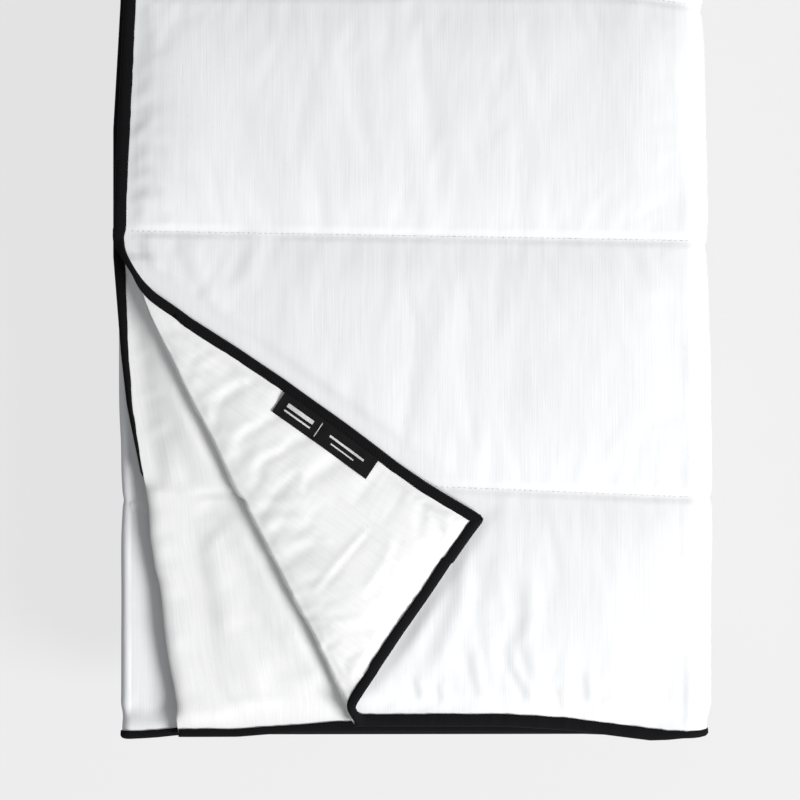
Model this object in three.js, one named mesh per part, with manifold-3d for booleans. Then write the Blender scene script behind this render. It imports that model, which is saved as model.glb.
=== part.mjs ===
// A quilted blanket, about 1350 mm wide and 2 m long when spread, lying folded as a bundle.
//
// The blanket is a sandwich of face fabric, fibre fill and back fabric, sewn through along straight
// quilting lines and bound round its edges with a narrow black tape. It is folded in quarters
// across its width, which makes a strip of four leaves, and the strip is folded to and fro along
// its length into four runs lying one on another. The near left corner of the uppermost leaf is
// turned back.
//
// Frame: millimetres, +Z up, +X to the right, +Y along the runs, away from the near end. The origin
// is on the floor under the middle of the bundle. Shapes are drawn with y = 0 at the near end.
// A run is drawn with z from 0 to STRIP and leaf 1 uppermost, then turned over where needed:
//   leaf 1, round the right outer fold, leaf 4 (lowest), round the left fold, leaf 3,
//   round the right inner fold, leaf 2, whose bound edge lies under that of leaf 1.

import * as THREE from "three";
import { mergeVertices } from "three/addons/utils/BufferGeometryUtils.js";
import Module from "manifold-3d";

// ---- the sandwich ----
const SKIN = 3.6; // half thickness
const PRESSED_SKIN = 2.8; // half thickness inside a binding
const CLOTH = 0.5; // thickness of each fabric
const PRESSED_CLOTH = 0.45;
const FILL_GAP = 0.05; // between fill and fabric

// ---- the folded bundle ----
const LEAF = 7.5; // pitch of the leaves
const STRIP = 4 * LEAF; // thickness of the strip of four leaves
const LEAF_1_Z = 3.5 * LEAF;
const LEAF_2_Z = 2.5 * LEAF;
const SKIN_INSET = LEAF / 2 - SKIN; // from the strip's boundary to its outer fabric
const RUN_GAP = 0.6; // between one run and the next
const RUN_PITCH = STRIP + RUN_GAP;
const FOLD_GAP = 0.3; // between a run and its fold
const FOLD_REACH = FOLD_GAP + RUN_GAP / 2 + STRIP; // how far a fold extends past its runs
const FOLD_STEPS = 4; // facets round a fold along the length
const HALF_WIDTH = 170.6;
const X_EDGE = -HALF_WIDTH; // outer face of the long bindings
const X_LEFT = X_EDGE + SKIN + LEAF / 2; // centre of the left fold
const X_RIGHT = HALF_WIDTH - SKIN - 1.5 * LEAF; // centre of the right folds
const Y_FAR = 478.75; // where the runs end at the far folds
const Y_END_TOP = 0; // free end of the top run
const Y_END_BOTTOM = 38.6; // free end of the bottom run, set back under the near fold
const Y_NEAR = Y_END_TOP + FOLD_REACH; // where the middle runs end at the near fold
const Y_LAST = Y_FAR + FOLD_REACH - SKIN_INSET; // outermost fabric of the far folds

// ---- binding ----
const TAPE = 7.5; // visible width
const TAPE_THICK = 0.6;
const TAPE_OUT = 3.5; // half thickness over the tape
const TAPE_IN = TAPE_OUT - TAPE_THICK;
const TUCK = 0.9; // from the binding's outer face to the sandwich inside it
const TAPE_GAP = 0.3;
const BESIDE = TAPE + TAPE_GAP; // from the binding's outer face to the unpressed fabric
const STEP = 0.5; // length over which a fabric steps down
const FILL_SETBACK = 0.8; // the unpressed fill begins this far past BESIDE
const FILL_LAP = 1.2; // the pressed fill of a run ends this far past BESIDE

// ---- quilting ----
const QUILT_PITCH = 144;
const QUILT_OUTER = 136; // y of the nearest line in the top and bottom runs
const QUILT_MIDDLE = 150.3; // the same in the middle runs
const SEAM_HALF = 0.8; // half width of the groove a quilting line draws
const SEAM_FLOOR = 3.3; // bottom of the groove, from the middle of the sandwich
const THREAD_HALF = 0.4;
const THREAD_LIFT = 0.05; // above the groove's floor
const quiltFrom = (first) => [0, 1, 2].map((i) => first + i * QUILT_PITCH);

// Each run by its level from the floor. Quilting lines are in order along the blanket, from the
// top run's free end. A run that is down lies with leaf 1 lowest; a bound run has a free end.
const RUNS = {
  bottom: {
    level: 0,
    yEnd: Y_END_BOTTOM,
    quilt: quiltFrom(QUILT_OUTER).reverse(),
    down: true,
    bound: true,
  },
  third: { level: 1, yEnd: Y_NEAR, quilt: quiltFrom(QUILT_MIDDLE), down: false, bound: false },
  second: {
    level: 2,
    yEnd: Y_NEAR,
    quilt: quiltFrom(QUILT_MIDDLE).reverse(),
    down: true,
    bound: false,
  },
  top: { level: 3, yEnd: Y_END_TOP, quilt: quiltFrom(QUILT_OUTER), down: false, bound: true },
};

// ---- materials, each keyed by a word in the names of its meshes; colours are linear RGB ----
const MATERIALS = {
  binding: { color: [0.02, 0.02, 0.022], roughness: 0.75 },
  thread: { color: [0.78, 0.79, 0.81], roughness: 0.7 },
  back: { color: [0.91, 0.91, 0.9], roughness: 0.85 },
  fill: { color: [0.95, 0.95, 0.94], roughness: 1 },
  face: { color: [0.9, 0.91, 0.92], roughness: 0.85 },
  label: { color: [0.025, 0.024, 0.024], roughness: 0.6 },
};

function materialFor(meshName) {
  const word = Object.keys(MATERIALS).find((key) => meshName.includes(key));
  const { color, roughness } = MATERIALS[word];
  return new THREE.MeshStandardMaterial({
    color: new THREE.Color(...color),
    roughness,
    metalness: 0,
  });
}

// ---- solids ----
const manifold = await Module();
manifold.setup();

// A closed three.js geometry as a solid, with its faces turned out.
function solid(geometry) {
  const bare = geometry.clone();
  for (const name of Object.keys(bare.attributes)) {
    if (name !== "position") bare.deleteAttribute(name);
  }
  const merged = mergeVertices(bare, 1e-4);
  const vertProperties = new Float32Array(merged.attributes.position.array);
  const triVerts = new Uint32Array(merged.index.array);
  const make = () =>
    new manifold.Manifold(new manifold.Mesh({ numProp: 3, vertProperties, triVerts }));
  const made = make();
  if (made.volume() >= 0) return made;
  for (let i = 0; i < triVerts.length; i += 3) {
    [triVerts[i + 1], triVerts[i + 2]] = [triVerts[i + 2], triVerts[i + 1]];
  }
  return make();
}

function geometryOf(made) {
  const { vertProperties, triVerts } = made.getMesh();
  const geometry = new THREE.BufferGeometry();
  geometry.setAttribute("position", new THREE.BufferAttribute(new Float32Array(vertProperties), 3));
  geometry.setIndex(new THREE.BufferAttribute(new Uint32Array(triVerts), 1));
  geometry.computeVertexNormals();
  return geometry;
}

function add(group, name, made, position = [0, 0, 0]) {
  const mesh = new THREE.Mesh(geometryOf(made), materialFor(name));
  mesh.name = name;
  mesh.position.set(...position);
  group.add(mesh);
}

const join = (...solids) => solids.reduce((a, b) => a.add(b));

const polygon = (points) => new THREE.Shape(points.map(([x, y]) => new THREE.Vector2(x, y)));

// A block between [from, to] pairs, with x and y measured from the near left corner.
function box([x0, x1], [y0, y1], [z0, z1]) {
  const block = new THREE.BoxGeometry(x1 - x0, y1 - y0, z1 - z0);
  block.translate(X_EDGE + (x0 + x1) / 2, Y_END_TOP + (y0 + y1) / 2, (z0 + z1) / 2);
  return solid(block);
}

// ---- the layers ----
// [low, high] of each layer from the sandwich's middle, face side positive.
function sandwich(skin, pressedSkin) {
  const cloth = skin - CLOTH;
  const pressedCloth = pressedSkin - PRESSED_CLOTH;
  const fill = cloth - FILL_GAP;
  const pressedFill = pressedCloth - FILL_GAP;
  return {
    face: { thick: [cloth, skin], pressed: [pressedCloth, pressedSkin] },
    fill: { thick: [-fill, fill], pressed: [-pressedFill, pressedFill] },
    back: { thick: [-skin, -cloth], pressed: [-pressedSkin, -pressedCloth] },
  };
}
const LAYERS = sandwich(SKIN, PRESSED_SKIN);

// The range that covers a fabric both thick and pressed.
const span = ({ thick, pressed }) => [
  Math.min(thick[0], pressed[0]),
  Math.max(thick[1], pressed[1]),
];

// ---- the folded cross-section ----
// Points of its middle line; (nx, nz) points to the face-fabric side. Angles are in degrees, and
// side is 1 where the face fabric is outside the fold, -1 where it is inside.
function arc({ x, z, radius, from, to, steps, side }) {
  return Array.from({ length: steps + 1 }, (_, i) => {
    const angle = THREE.MathUtils.degToRad(from + ((to - from) * i) / steps);
    const cos = Math.cos(angle);
    const sin = Math.sin(angle);
    return { x: x + radius * cos, z: z + radius * sin, nx: side * cos, nz: side * sin };
  });
}

const LEAF_FOLDS = [
  { x: X_RIGHT, z: 2 * LEAF, radius: 1.5 * LEAF, from: 90, to: -90, steps: 8, side: 1 },
  { x: X_LEFT, z: LEAF, radius: 0.5 * LEAF, from: 270, to: 90, steps: 4, side: 1 },
  { x: X_RIGHT, z: 2 * LEAF, radius: 0.5 * LEAF, from: -90, to: 90, steps: 4, side: -1 },
].flatMap(arc);

// The middle line from leaf 1 to leaf 2. Stations are [distance from X_EDGE, pressed].
function middleLine(stations) {
  const leaf = (z, nz) =>
    stations.map(([distance, pressed]) => ({ x: X_EDGE + distance, z, nx: 0, nz, pressed }));
  return [...leaf(LEAF_1_Z, 1), ...LEAF_FOLDS, ...leaf(LEAF_2_Z, -1).reverse()];
}
const WHOLE = middleLine([[TUCK, true], [BESIDE, true], [BESIDE + 1, false]]);
const BETWEEN = middleLine([[TAPE + 0.5, false]]); // between the long bindings
const SEWN = middleLine([[TAPE + 1.6, false]]); // the reach of the quilting lines

// A layer along a middle line as a closed outline in (x, z).
function band(line, thick, pressed = thick) {
  const side = (k) =>
    line.map((point) => {
      const offset = (point.pressed ? pressed : thick)[k];
      return [point.x + point.nx * offset, point.z + point.nz * offset];
    });
  return polygon([...side(1), ...side(0).reverse()]);
}

// The tape's section round a long edge, at the height of its leaf.
const tapeSection = (z) =>
  polygon([
    [X_EDGE, z - TAPE_OUT],
    [X_EDGE + TAPE, z - TAPE_OUT],
    [X_EDGE + TAPE, z - TAPE_IN],
    [X_EDGE + TAPE_THICK, z - TAPE_IN],
    [X_EDGE + TAPE_THICK, z + TAPE_IN],
    [X_EDGE + TAPE, z + TAPE_IN],
    [X_EDGE + TAPE, z + TAPE_OUT],
    [X_EDGE, z + TAPE_OUT],
  ]);

const layerBand = ({ thick, pressed }) => band(WHOLE, thick, pressed);
const SECTIONS = {
  face: layerBand(LAYERS.face),
  fill: layerBand(LAYERS.fill),
  back: layerBand(LAYERS.back),
  binding_a: tapeSection(LEAF_1_Z),
  binding_b: tapeSection(LEAF_2_Z),
};

// An outline drawn along y, turned over if it belongs to a run that is down.
function prism(shape, y0, y1, down) {
  const geometry = new THREE.ExtrudeGeometry(shape, { depth: y1 - y0, bevelEnabled: false });
  geometry.rotateX(Math.PI / 2);
  geometry.translate(0, y1, 0);
  if (down) {
    geometry.rotateX(Math.PI);
    geometry.translate(0, y0 + y1, STRIP);
  }
  return solid(geometry);
}

// ---- one run: its layers, bindings and quilting threads ----
function runLayer(name, { yEnd, bound }, along) {
  if (!bound) return along(SECTIONS[name], yEnd, Y_FAR);
  const layer = LAYERS[name];
  const yThick = yEnd + BESIDE;
  const pressedBand = band(WHOLE, layer.pressed);
  if (name === "fill") {
    return join(
      along(SECTIONS.fill, yThick + FILL_SETBACK, Y_FAR),
      along(pressedBand, yEnd + TUCK, yThick + FILL_LAP),
    );
  }
  // beside the end binding each fabric steps down to its pressed thickness
  return join(
    along(SECTIONS[name], yThick, Y_FAR),
    along(band(WHOLE, span(layer), layer.pressed), yThick, yThick + STEP),
    along(pressedBand, yEnd + TUCK, yThick + STEP),
  );
}

function runParts(run) {
  const { yEnd, quilt, down, bound } = run;
  const along = (shape, y0, y1) => prism(shape, y0, y1, down);
  const parts = {};
  for (const name of Object.keys(LAYERS)) parts[name] = runLayer(name, run, along);
  if (bound) {
    parts.end_binding = join(
      along(band(BETWEEN, [TAPE_IN, TAPE_OUT]), yEnd, yEnd + TAPE),
      along(band(BETWEEN, [-TAPE_OUT, -TAPE_IN]), yEnd, yEnd + TAPE),
      along(band(BETWEEN, [-TAPE_OUT, TAPE_OUT]), yEnd, yEnd + TAPE_THICK),
    );
  }
  const groove = band(SEWN, [SEAM_FLOOR, SKIN + 0.1]);
  const thread = band(SEWN, [SEAM_FLOOR + THREAD_LIFT, SKIN]);
  quilt.forEach((y, i) => {
    parts.face = parts.face.subtract(along(groove, y - SEAM_HALF, y + SEAM_HALF));
    parts[`quilt_thread_${i + 1}`] = along(thread, y - THREAD_HALF, y + THREAD_HALF);
  });
  parts.long_binding_a = along(SECTIONS.binding_a, yEnd, Y_FAR);
  parts.long_binding_b = along(SECTIONS.binding_b, yEnd, Y_FAR);
  return parts;
}

// ---- the turned-back corner; distances run from the corner along the fold line's normal ----
const FOLD_ANGLE = THREE.MathUtils.degToRad(28); // of the normal, from +X
const NORMAL_X = Math.cos(FOLD_ANGLE);
const NORMAL_Y = Math.sin(FOLD_ANGLE);
const CUT_RUN = 128.3; // the top leaf begins here
const CUT_CORNER = 116.5; // the turned-back part ends here; the rest goes round the bend
const HINGE = (CUT_RUN + CUT_CORNER) / 2;
const HINGE_Z = STRIP + 0.15; // height in the top run
const SKEW = 10.4; // the corner is turned back slightly askew, along the fold line
const CORNER_SKIN = 3; // half thickness of the turned-back part
const CORNER_PRESSED_SKIN = 2.4;
const CORNER_TAPE_FLAP = 0.5; // thickness of the tape over and under the corner
const CORNER_REACH = 300; // blocks of the corner are drawn to here, then cut
const OVERCUT = 9;
const BEND_GAP = 0.3; // from the bend to the top leaf
const BEND_LENGTH = 600; // before trimming
const BEND_SEGMENTS = 6;
// inner and outer radius of each layer round the bend
const BEND_RADII = { face: [0.3, 0.8], fill: [0.9, 6.2], back: [6.3, 6.8] };
const LABEL = { x: 7.6, y: 69.5, width: 13.3, length: 66.5, thick: 0.8, gap: 0.1 };

// The (x, y) at a distance from the corner and an offset along the fold line.
const foldPoint = (distance, offset = 0) => [
  X_EDGE + NORMAL_X * distance - NORMAL_Y * offset,
  Y_END_TOP + NORMAL_Y * distance + NORMAL_X * offset,
];

// A block on the corner side of a line parallel to the fold line.
function cornerSide(distance, z0, z1) {
  const outline = polygon([
    foldPoint(distance, -400),
    foldPoint(distance, 400),
    foldPoint(-80, 400),
    foldPoint(-80, -400),
  ]);
  const geometry = new THREE.ExtrudeGeometry(outline, { depth: z1 - z0, bevelEnabled: false });
  geometry.translate(0, 0, z0);
  return solid(geometry);
}

// The top run, with leaf 1 cut away at the turned-back corner.
function topParts() {
  const parts = runParts(RUNS.top);
  const cutter = cornerSide(CUT_RUN, 3 * LEAF, STRIP + 1);
  for (const key of Object.keys(parts)) {
    if (key !== "long_binding_b") parts[key] = parts[key].subtract(cutter);
  }
  return parts;
}

// One layer of the bend between the top leaf and its turned-back corner.
function cornerBend([inner, outer]) {
  const ring = new THREE.Shape();
  ring.absarc(0, 0, outer, -Math.PI / 2, Math.PI / 2, false);
  ring.absarc(0, 0, inner, Math.PI / 2, -Math.PI / 2, true);
  ring.closePath();
  const geometry = new THREE.ExtrudeGeometry(ring, {
    depth: BEND_LENGTH,
    bevelEnabled: false,
    curveSegments: BEND_SEGMENTS,
  });
  geometry.translate(0, 0, -BEND_LENGTH / 2);
  // the section bulges towards the corner and the length lies along the fold line
  const axes = new THREE.Matrix4().makeBasis(
    new THREE.Vector3(-NORMAL_X, -NORMAL_Y, 0),
    new THREE.Vector3(0, 0, 1),
    new THREE.Vector3(-NORMAL_Y, NORMAL_X, 0),
  );
  geometry.applyMatrix4(axes);
  geometry.translate(...foldPoint(CUT_RUN - BEND_GAP), HINGE_Z);
  const inside = [TUCK, TUCK + 600];
  return solid(geometry).intersect(box(inside, inside, [HINGE_Z - 40, HINGE_Z + 40]));
}

// The corner's pieces, lying flat before it is rolled over. Heights are from its middle.
function cornerParts() {
  const middle = LEAF_1_Z + SKIN - CORNER_SKIN; // its face fabric is level with the top leaf's
  const block = (xs, ys, [low, high]) => box(xs, ys, [middle + low, middle + high]);
  const slab = (from, heights) => block([from, CORNER_REACH], [from, CORNER_REACH], heights);
  const layers = sandwich(CORNER_SKIN, CORNER_PRESSED_SKIN);

  // a fabric steps down to its pressed thickness beside the bindings
  const fabric = (layer) => {
    const lip = join(slab(TUCK, layer.pressed), slab(BESIDE, span(layer)));
    const field = slab(BESIDE + STEP, [-CORNER_SKIN - 1, CORNER_SKIN + 1]);
    return join(lip.subtract(field), slab(BESIDE, layer.thick));
  };

  // a tape hollowed from its inner side, which faces +X if acrossX and +Y if not
  const tape = (xs, ys, acrossX) => {
    const through = ([from, to]) => [from - OVERCUT, to + OVERCUT];
    const opened = ([, to]) => [TAPE_THICK, to + OVERCUT];
    const flap = CORNER_SKIN - CORNER_TAPE_FLAP;
    const hollow = acrossX
      ? block(opened(xs), through(ys), [-flap, flap])
      : block(through(xs), opened(ys), [-flap, flap]);
    return block(xs, ys, [-CORNER_SKIN, CORNER_SKIN]).subtract(hollow);
  };

  const labelFace = -CORNER_SKIN - LABEL.gap;
  return {
    corner_face: fabric(layers.face),
    corner_fill: join(slab(BESIDE + FILL_SETBACK, layers.fill.thick), slab(TUCK, layers.fill.pressed)),
    corner_back: fabric(layers.back),
    corner_long_binding: tape([0, TAPE], [0, CORNER_REACH], true),
    corner_end_binding: tape([BESIDE, CORNER_REACH], [0, TAPE], false),
    woven_label: block(
      [LABEL.x, LABEL.x + LABEL.width],
      [LABEL.y, LABEL.y + LABEL.length],
      [labelFace - LABEL.thick, labelFace],
    ),
  };
}

// The corner rolled over about the fold line.
function turnedCorner() {
  const corner = new THREE.Group();
  corner.position.set(...foldPoint(HINGE, SKEW), HINGE_Z);
  corner.quaternion.setFromAxisAngle(new THREE.Vector3(NORMAL_Y, -NORMAL_X, 0), Math.PI);
  const keep = cornerSide(CUT_CORNER, 0, 2 * STRIP);
  const fromHinge = [...foldPoint(HINGE), HINGE_Z].map((value) => -value);
  for (const [name, made] of Object.entries(cornerParts())) {
    add(corner, name, made.intersect(keep), fromHinge);
  }
  return corner;
}

// ---- the three folds along the length ----
// y is where the runs end; direction is 1 for a far fold, -1 for the near fold.
const LENGTH_FOLDS = [
  { name: "lower_far_fold", y: Y_FAR, above: "third", direction: 1 },
  { name: "near_fold", y: Y_NEAR, above: "second", direction: -1 },
  { name: "upper_far_fold", y: Y_FAR, above: "top", direction: 1 },
];

// An outline drawn half way round a fold whose axis is at height z.
function lengthFold(shape, y, z, direction) {
  const geometry = new THREE.ExtrudeGeometry(shape, {
    depth: 1,
    steps: FOLD_STEPS,
    bevelEnabled: false,
  });
  const points = geometry.attributes.position;
  for (let i = 0; i < points.count; i++) {
    const angle = Math.PI * (points.getZ(i) - 0.5);
    const height = direction > 0 ? points.getY(i) : STRIP - points.getY(i);
    const radius = height + RUN_GAP / 2;
    const foldY = y + direction * (FOLD_GAP + radius * Math.cos(angle));
    points.setXYZ(i, points.getX(i), foldY, z + radius * Math.sin(angle));
  }
  return solid(geometry);
}

// ---- assembly ----
const root = new THREE.Group();
root.position.set(0, -Y_LAST / 2, -SKIN_INSET); // centred, with the lowest fabric on the floor

for (const [name, run] of Object.entries(RUNS)) {
  const group = new THREE.Group();
  group.position.z = run.level * RUN_PITCH;
  root.add(group);
  const parts = name === "top" ? topParts() : runParts(run);
  for (const [key, made] of Object.entries(parts)) add(group, `${name}_${key}`, made);
  if (name === "top") {
    for (const [key, radii] of Object.entries(BEND_RADII)) {
      add(group, `corner_bend_${key}`, cornerBend(radii));
    }
    group.add(turnedCorner());
  }
}

for (const { name, y, above, direction } of LENGTH_FOLDS) {
  const z = RUNS[above].level * RUN_PITCH - RUN_GAP / 2;
  for (const [key, shape] of Object.entries(SECTIONS)) {
    add(root, `${name}_${key}`, lengthFold(shape, y, z, direction));
  }
}

export default root;
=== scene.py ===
"""A quilted blanket, folded flat, with black tape round its edges and one corner turned back.

Across x it is folded into four leaves. Along y that strip is folded again into four runs, which
are stacked in z and named bottom, third, second and top. Left is -x, right +x, near -y, far +y.
The bound long edges lie at the left. The near left corner of the top run's uppermost leaf is
turned back over the leaf and carries a label. Lengths are in mm until a mesh is made.
"""

import math
from types import SimpleNamespace

import bmesh
import bpy
import mathutils
import numpy as np
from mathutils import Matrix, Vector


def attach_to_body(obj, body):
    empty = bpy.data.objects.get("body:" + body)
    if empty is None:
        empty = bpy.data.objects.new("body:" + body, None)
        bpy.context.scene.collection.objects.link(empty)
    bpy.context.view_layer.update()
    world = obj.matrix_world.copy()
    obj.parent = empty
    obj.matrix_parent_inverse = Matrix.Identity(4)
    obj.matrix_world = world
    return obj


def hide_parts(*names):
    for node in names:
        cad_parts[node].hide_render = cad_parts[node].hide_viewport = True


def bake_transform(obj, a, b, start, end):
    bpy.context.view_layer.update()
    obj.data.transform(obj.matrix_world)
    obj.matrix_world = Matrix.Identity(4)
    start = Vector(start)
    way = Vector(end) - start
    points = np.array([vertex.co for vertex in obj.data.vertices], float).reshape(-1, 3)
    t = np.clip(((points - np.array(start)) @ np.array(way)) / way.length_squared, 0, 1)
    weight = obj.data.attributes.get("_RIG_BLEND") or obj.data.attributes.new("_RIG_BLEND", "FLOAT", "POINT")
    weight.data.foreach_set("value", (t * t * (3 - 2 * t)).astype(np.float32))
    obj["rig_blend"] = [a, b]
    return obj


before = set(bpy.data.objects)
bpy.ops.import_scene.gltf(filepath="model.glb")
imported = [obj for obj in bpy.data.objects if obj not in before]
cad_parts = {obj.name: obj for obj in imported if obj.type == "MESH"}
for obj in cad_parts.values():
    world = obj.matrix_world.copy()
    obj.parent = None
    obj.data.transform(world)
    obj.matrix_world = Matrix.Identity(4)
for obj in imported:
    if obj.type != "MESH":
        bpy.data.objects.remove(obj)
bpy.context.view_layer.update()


STEP = 2.4  # grid spacing of the top run and of the simulated patches

# ------------------------------------------------------------------ sizes
LEAF = 7.5  # thickness of one leaf
STRIP = 4 * LEAF
PITCH = STRIP + 0.6  # height from run to run
LOWEST_Z = -0.15
FOLD_LEFT_X, FOLD_RIGHT_X, EDGE_X = -163.25, 155.75, -170.6
NEAR_Y = -254.6  # run coordinates measure y from here
FAR_FOLD, NEAR_FOLD = 478.75, 30.6
RUNS = ("bottom", "third", "second", "top")
BOUND = ("top", "bottom")  # runs that finish in a bound end
RUN_START = {"top": 0.0, "second": NEAR_FOLD, "third": NEAR_FOLD, "bottom": 43.2}
RUN_Z = {run: LOWEST_Z + i * PITCH for i, run in enumerate(RUNS)}
FACING = {"bottom": -1, "third": 1, "second": -1, "top": 1}  # -1: leaf 1 is down
QUILT = {
    "top": [136, 280, 424], "second": [438.3, 294.3, 150.3],
    "third": [150.3, 294.3, 438.3], "bottom": [424, 280, 136],
}
TAPE = 7.4  # width of the tape on each side of an edge
EDGE_INSET = 1.6  # the cloth's edge inside the tape's

# The turned corner. Its fold lies across a direction CUT_ANGLE from +x.
CUT_ANGLE = math.radians(28)
COS_CUT, SIN_CUT = math.cos(CUT_ANGLE), math.sin(CUT_ANGLE)
# distances from the corner at which the leaf ends, the corner's cloth ends, and the mirror line
CUT_RUN, CUT_CORNER, HINGE = 128.3, 116.5, 122.4
SKEW = 10.4  # slip along the fold
FLAP_MID = 125.1  # middle height of the turned corner
UP = np.array([0.0, 0.0, 1.0])
ORIGIN = np.array([EDGE_X, NEAR_Y, 0.0])
ACROSS = np.array([COS_CUT, SIN_CUT, 0.0])
ALONG = np.array([-SIN_CUT, COS_CUT, 0.0])
TIP = (40.6, -130.5)
# directions from the tip along the corner's long-edge and end-edge tapes
LONG_WAY = np.array([-math.sin(2 * CUT_ANGLE), math.cos(2 * CUT_ANGLE), 0.0])
END_WAY = np.array([-math.cos(2 * CUT_ANGLE), -math.sin(2 * CUT_ANGLE), 0.0])


# ------------------------------------------------------------------ shaping functions
def smooth(t):
    t = np.clip(t, 0, 1)
    return t * t * (3 - 2 * t)


def bump(distance, width):
    return np.exp(-((distance / width) ** 2))


def noise(x, y=0, *, seed):
    """Smooth noise in -1..1 with unit cells, so a divisor in x or y is a cell's size."""
    table = np.random.RandomState(seed).rand(128, 128) * 2 - 1
    x, y = np.asarray(x, float), np.asarray(y, float)
    column, row = np.floor(x).astype(int), np.floor(y).astype(int)
    right, up = smooth(x - column), smooth(y - row)

    def value(i, j):
        return table[(column + i) % 128, (row + j) % 128]

    low = value(0, 0) * (1 - right) + value(1, 0) * right
    high = value(0, 1) * (1 - right) + value(1, 1) * right
    return low * (1 - up) + high * up


def curve(*points):
    """A function that runs straight between (position, value) points."""
    positions, values = np.array(points, float).T
    return lambda at: np.interp(at, positions, values)


def from_corner(x, y):
    """Distance across the corner's fold, for x and y measured from the corner."""
    return COS_CUT * x + SIN_CUT * y


def along_fold(x, y):
    return -SIN_CUT * x + COS_CUT * y


# Outlines of the top run. Left and right edges: frame y, then x.
leaf1_left = curve(
    (-255, -171), (18, -174), (30, -173.6), (80, -171.8), (169, -167.7), (255, -168.5))
leaf2_left = curve(
    (-256, -136), (-251, -136.3), (-245, -137.2), (-226, -139.6), (-209, -142.4),
    (-198, -144.6), (-174, -148.4), (-144, -152.8), (-114, -156), (-73, -164.4), (-66, -165.7),
    (-38, -168.9), (-11, -171), (19, -173.4), (94, -173.4), (169, -169.2), (255, -169.4))
right_edge = curve(
    (-258, 172.6), (-200, 173), (-120, 174), (0, 172), (30, 171.6), (130, 169.8), (169, 169.2),
    (255, 169.4))
# the cloth's edge under the tape where leaf 1 starts to turn over: frame y, then x
turn_left = curve(
    (-12, -154.3), (-5, -155.5), (3, -157.2), (7.4, -158.8), (10.4, -160.4), (13.1, -162.3),
    (16.4, -164.2), (19.7, -166.3), (24.4, -168.8), (27.6, -170.2), (30.4, -172), (37, -178))
# near ends of the leaves: x, then frame y
leaf1_end = curve(
    (-171, -250.6), (-33, -250.7), (54, -250.8), (73, -252), (91, -253.1), (110, -255.5),
    (128, -257.8), (137, -258.9), (147, -258.6), (156, -257.7), (172, -257.5))
leaf2_end = curve(
    (-171, -256.2), (-130, -256.4), (-102, -256.3), (-84, -254.8), (-66, -253.8), (-20, -253.6),
    (40, -253.6), (100, -254.6), (146, -256.4), (172, -256.6))
leaf3_end = curve(
    (-171, -257.9), (-158, -257.3), (-149, -256.7), (-139, -255.6), (-120, -255), (172, -254.6))
# tape widths: frame y, then the width that shows; x, then the width along the end
leaf2_tape_shown = curve(
    (-256, 0), (-120, 0), (-114, 0.4), (-73, 2.6), (-66, 2.8), (-38, 3.9), (-11, 5.1),
    (19, 6.2), (94, 6.8), (255, 7))
leaf1_end_tape = curve(
    (-171, 7.3), (128, 7.3), (138, 7.2), (147, 5.6), (156, 4.3), (172, 4.1))
leaf2_end_tape = curve((-171, 4.8), (-66, 4.9), (-48, 6.6), (172, 7))

# Creases in the cloth: height, width, then frame x, y of each point.
LEAF1_CREASES = [
    (0.7, 4, -152.7, 26.4, -151, 13.7, -147.5, 0.4),
    (0.55, 5, -135.4, 23.5, -126.2, 7.9, -119.2, -6.5, -111.7, -23.2),
    (0.5, 6, -89.8, 33.3, -91.6, 13.1, -95.6, -6.5),
    (0.5, 3.5, -166, 42.6, -153.9, 44.9, -138.9, 38.5),
    (0.45, 3.5, -164.8, 55.8, -152.1, 59.3, -141.8, 53.5),
    (0.4, 4, -165.4, 82.4, -154.4, 85.8, -140.6, 81.2), (0.4, 4, -164.8, 105.4, -152.1, 111.2),
    (0.8, 5.5, 31.3, -160, 26.7, -183.1, 19.8, -203.2, 12.3, -223.4),
    (0.7, 5, 67.1, -165.7, 68.9, -188.8, 63.1, -203.2, 72.9, -223.4),
    (0.6, 3, 35.4, -206.1, 37.1, -223.4, 41.2, -239.6),
    (0.7, 3.2, 56.7, -203.2, 58.5, -217.7, 68.3, -235, 71.2, -241.9),
    (0.5, 3, 100.6, -218.8, 103.5, -239.6), (0.6, 3, 2.5, -223.4, 6, -239.6),
    (0.5, 2.5, 15.2, -229.2, 19.2, -240.8), (0.4, 2.5, 84.4, -229.2, 87.9, -241.9),
    (0.4, 5, 49.8, -154.2, 48.7, -183.1),
]
LEAF2_CREASES = [
    (0.8, 2.6, -148.7, -136.3, -134.2, -128.8, -115.8, -120.2),
    (0.6, 2.2, -148.7, -140.4, -137.7, -136.3, -129.1, -131.1),
    (0.6, 2.6, -138.9, -161.7, -126.7, -159.4, -118.1, -150.7, -111.7, -139.8),
    (0.6, 2.4, -134.2, -189.4, -120.4, -211.3, -105.4, -230.9, -94.4, -244.2),
    (0.5, 3, -85.8, -179, -77.1, -198.1, -66.2, -215.4),
    (0.5, 2.4, -143.5, -189.4, -131.4, -198.1), (0.5, 2.4, -140, -209, -129.1, -217.7),
    (0.5, 2.4, -137.7, -226.9, -124.4, -231.5), (0.4, 2.4, -147.5, -172.7, -136, -179),
    (0.4, 2.2, -163.7, -21.5, -152.1, -16.9), (0.4, 2.4, -162.5, -38.8, -147.5, -31.9),
    (0.4, 2.6, -159.6, -61.9, -145.2, -57.3), (0.4, 2.6, -156.8, -85, -140.6, -76.3),
    (0.4, 3, -126.2, -244.2, -103.1, -236.1, -71.4, -235),
]
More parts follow.
